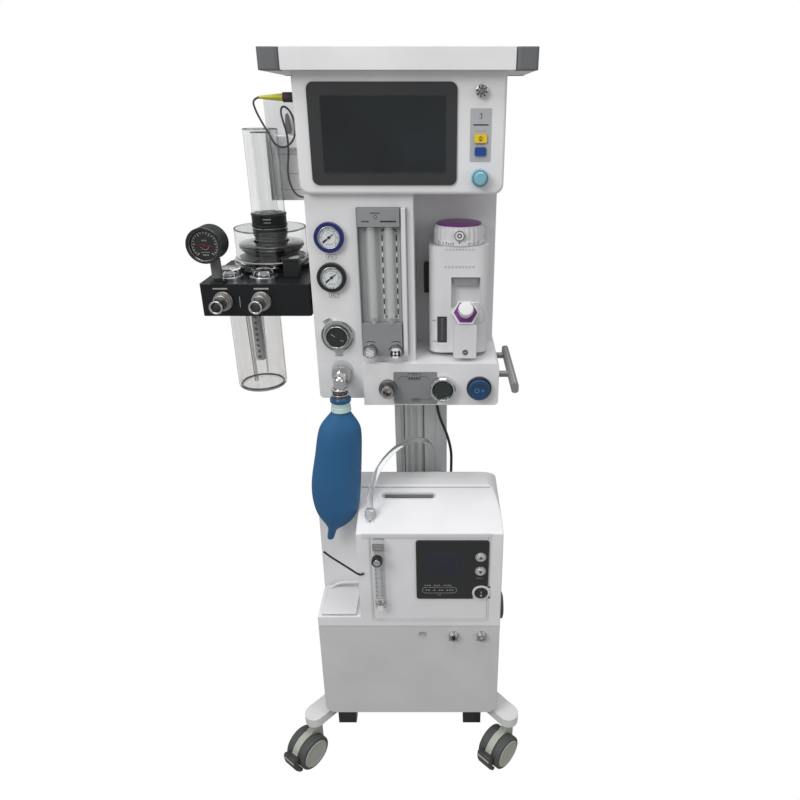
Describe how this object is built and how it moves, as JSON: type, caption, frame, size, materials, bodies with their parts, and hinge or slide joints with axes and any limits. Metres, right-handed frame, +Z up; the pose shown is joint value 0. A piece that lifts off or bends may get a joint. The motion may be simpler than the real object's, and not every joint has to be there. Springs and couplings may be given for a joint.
{
  "type": "anesthesia machine",
  "caption": "Trolley anesthesia machine with monitor, flowmeters, vaporizer, absorber, bellows and breathing bag above an oxygen concentrator.",
  "frame": {"origin": "on the floor, under the middle of the machine's bounding box", "axes": "+Z up, -Y towards the user, +X to the right as the user sees it"},
  "size_m": [0.6085, 0.5596, 1.423],
  "materials": {
    "white_shell": "satin",
    "white_plastic": "satin",
    "grey_plastic": "satin",
    "light_grey": "satin",
    "black_plastic": "satin",
    "black_gloss": "gloss",
    "clear": "clear",
    "chrome": "polished",
    "aluminium": "satin",
    "tyre": "satin",
    "castor_olive": "satin",
    "bag_blue": "satin",
    "blue_plastic": "satin",
    "yellow_plastic": "satin",
    "light_blue": "satin",
    "purple_plastic": "satin",
    "cable_grey": "satin",
    "red_plastic": "satin"
  },
  "bodies": {
    "machine": {"base_frame": "white_shell", "column": "aluminium", "cabinet_shell": "white_plastic", "cabinet_lower_panel": "light_grey", "compressor_and_sieve_tanks": "aluminium", "display_panel": "black_gloss", "upper_body": "white_shell", "gauge_panel": "white_shell", "control_bar": "white_shell", "monitor_housing": "white_plastic", "screen_bezel": "black_gloss", "tray": "white_shell", "tray_corners": "grey_plastic", "panel_gauges": "black_plastic", "flowmeter_block": "grey_plastic", "flow_tubes": "clear", "port_fittings": "chrome", "side_rail": "aluminium", "breathing_block": "black_plastic", "clear_covers": "clear", "bellows": "black_plastic", "manometer": "black_plastic", "vaporizer_body": "white_shell", "vaporizer_filler": "purple_plastic", "feet_and_sockets": "black_plastic", "sensor_plug": "yellow_plastic", "gas_hose": "clear", "power_cord": "black_plastic", "sensor_cable": "cable_grey"},
    "castor_front_left": {"castor_front_left": "castor_olive"},
    "wheels_front_left": {"wheels_front_left": "tyre"},
    "castor_front_right": {"castor_front_right": "castor_olive"},
    "wheels_front_right": {"wheels_front_right": "tyre"},
    "castor_rear_left": {"castor_rear_left": "castor_olive"},
    "wheels_rear_left": {"wheels_rear_left": "tyre"},
    "castor_rear_right": {"castor_rear_right": "castor_olive"},
    "wheels_rear_right": {"wheels_rear_right": "tyre"},
    "menu_knob": {"menu_knob": "light_blue"},
    "oxygen_flow_knob": {"oxygen_flow_knob": "chrome"},
    "air_flow_knob": {"air_flow_knob": "chrome"},
    "apl_knob": {"apl_knob": "grey_plastic"},
    "outlet_selector": {"outlet_selector": "black_plastic"},
    "outlet_flow_knob": {"outlet_flow_knob": "chrome"},
    "vaporizer_dial": {"vaporizer_dial": "white_plastic"},
    "manometer_needle": {"manometer_needle": "red_plastic"},
    "power_rocker": {"power_rocker": "black_plastic"},
    "bag": {"bag_elbow": "chrome", "breathing_bag": "bag_blue"},
    "power_button": {"power_button": "chrome"},
    "yellow_key": {"yellow_key": "yellow_plastic"},
    "blue_key": {"blue_key": "blue_plastic"},
    "flush_button": {"flush_button": "blue_plastic"},
    "up_button": {"up_button": "chrome"},
    "down_button": {"down_button": "chrome"},
    "oxygen_float": {"oxygen_float": "chrome"},
    "air_float": {"air_float": "chrome"},
    "outlet_float": {"outlet_float": "chrome"},
    "bellows_plate": {"bellows_plate": "black_plastic"},
    "absorber_canister": {"absorber_canister": "clear"},
    "filler_cap": {"filler_cap": "white_plastic"}
  },
  "joints": [
    {"name": "swivel_front_left", "type": "hinge", "parent": "machine", "child": "castor_front_left", "pos_m": [-0.152, -0.204, 0.06], "axis": [0, 0, 1], "continuous": true},
    {"name": "roll_front_left", "type": "hinge", "parent": "castor_front_left", "child": "wheels_front_left", "pos_m": [-0.17047, -0.22764, 0.0375], "axis": [0.788, -0.6157, 0], "continuous": true},
    {"name": "swivel_front_right", "type": "hinge", "parent": "machine", "child": "castor_front_right", "pos_m": [0.276, -0.204, 0.06], "axis": [0, 0, 1], "continuous": true},
    {"name": "roll_front_right", "type": "hinge", "parent": "castor_front_right", "child": "wheels_front_right", "pos_m": [0.25516, -0.22558, 0.0375], "axis": [0.7193, -0.6947, 0], "continuous": true},
    {"name": "swivel_rear_left", "type": "hinge", "parent": "machine", "child": "castor_rear_left", "pos_m": [-0.152, 0.258, 0.06], "axis": [0, 0, 1], "continuous": true},
    {"name": "roll_rear_left", "type": "hinge", "parent": "castor_rear_left", "child": "wheels_rear_left", "pos_m": [-0.152, 0.228, 0.0375], "axis": [1, 0, 0], "continuous": true},
    {"name": "swivel_rear_right", "type": "hinge", "parent": "machine", "child": "castor_rear_right", "pos_m": [0.276, 0.258, 0.06], "axis": [0, 0, 1], "continuous": true},
    {"name": "roll_rear_right", "type": "hinge", "parent": "castor_rear_right", "child": "wheels_rear_right", "pos_m": [0.276, 0.228, 0.0375], "axis": [1, 0, 0], "continuous": true},
    {"name": "menu_turn", "type": "hinge", "parent": "machine", "child": "menu_knob", "pos_m": [0.1895, -0.123, 1.2365], "axis": [0, 1, 0], "continuous": true},
    {"name": "oxygen_flow_turn", "type": "hinge", "parent": "machine", "child": "oxygen_flow_knob", "pos_m": [-0.001, -0.12, 0.938], "axis": [0, 1, 0], "range_deg": [0, 350]},
    {"name": "air_flow_turn", "type": "hinge", "parent": "machine", "child": "air_flow_knob", "pos_m": [0.045, -0.12, 0.938], "axis": [0, 1, 0], "range_deg": [0, 350]},
    {"name": "apl_turn", "type": "hinge", "parent": "machine", "child": "apl_knob", "pos_m": [-0.061, -0.108, 0.9625], "axis": [0, 1, 0], "range_deg": [0, 270]},
    {"name": "outlet_select", "type": "hinge", "parent": "machine", "child": "outlet_selector", "pos_m": [0.13, -0.123, 0.8655], "axis": [0, 1, 0], "range_deg": [0, 90]},
    {"name": "outlet_flow_turn", "type": "hinge", "parent": "machine", "child": "outlet_flow_knob", "pos_m": [0.005, -0.225, 0.552], "axis": [0, 1, 0], "range_deg": [0, 350]},
    {"name": "dial_turn", "type": "hinge", "parent": "machine", "child": "vaporizer_dial", "pos_m": [0.159, -0.0425, 1.13], "axis": [0, 0, 1], "range_deg": [0, 270]},
    {"name": "manometer_swing", "type": "hinge", "parent": "machine", "child": "manometer_needle", "pos_m": [-0.275, -0.12, 1.127], "axis": [0, 1, 0], "range_deg": [-40, 200], "stiffness_Nm_per_rad": 0.00002},
    {"name": "rocker_tilt", "type": "hinge", "parent": "machine", "child": "power_rocker", "pos_m": [0.2065, -0.2145, 0.461], "axis": [1, 0, 0], "range_deg": [0, 7]},
    {"name": "bag_swing", "type": "hinge", "parent": "machine", "child": "bag", "pos_m": [-0.057, -0.108, 0.89], "axis": [0, 1, 0], "range_deg": [0, 60]},
    {"name": "power_push", "type": "slide", "parent": "machine", "child": "power_button", "axis": [0, 1, 0], "range_m": [0, 0.002], "stiffness_N_per_m": 300, "springref_m": -0.001},
    {"name": "yellow_push", "type": "slide", "parent": "machine", "child": "yellow_key", "axis": [0, 1, 0], "range_m": [0, 0.001], "stiffness_N_per_m": 300, "springref_m": -0.001},
    {"name": "blue_push", "type": "slide", "parent": "machine", "child": "blue_key", "axis": [0, 1, 0], "range_m": [0, 0.001], "stiffness_N_per_m": 300, "springref_m": -0.001},
    {"name": "flush_push", "type": "slide", "parent": "machine", "child": "flush_button", "axis": [0, 1, 0], "range_m": [0, 0.003], "stiffness_N_per_m": 400, "springref_m": -0.001},
    {"name": "up_push", "type": "slide", "parent": "machine", "child": "up_button", "axis": [0, 1, 0], "range_m": [0, 0.001], "stiffness_N_per_m": 300, "springref_m": -0.001},
    {"name": "down_push", "type": "slide", "parent": "machine", "child": "down_button", "axis": [0, 1, 0], "range_m": [0, 0.001], "stiffness_N_per_m": 300, "springref_m": -0.001},
    {"name": "oxygen_float_rise", "type": "slide", "parent": "machine", "child": "oxygen_float", "axis": [0, 0, 1], "range_m": [0, 0.155]},
    {"name": "air_float_rise", "type": "slide", "parent": "machine", "child": "air_float", "axis": [0, 0, 1], "range_m": [0, 0.155]},
    {"name": "outlet_float_rise", "type": "slide", "parent": "machine", "child": "outlet_float", "axis": [0, 0, 1], "range_m": [0, 0.095]},
    {"name": "bellows_rise", "type": "slide", "parent": "machine", "child": "bellows_plate", "axis": [0, 0, 1], "range_m": [0, 0.022], "deforming": ["bellows"]},
    {"name": "canister_drop", "type": "slide", "parent": "machine", "child": "absorber_canister", "axis": [0, 0, -1], "range_m": [0, 0.025]},
    {"name": "cap_pull", "type": "slide", "parent": "machine", "child": "filler_cap", "axis": [0, -0.8192, 0.5736], "range_m": [0, 0.03]}
  ]
}
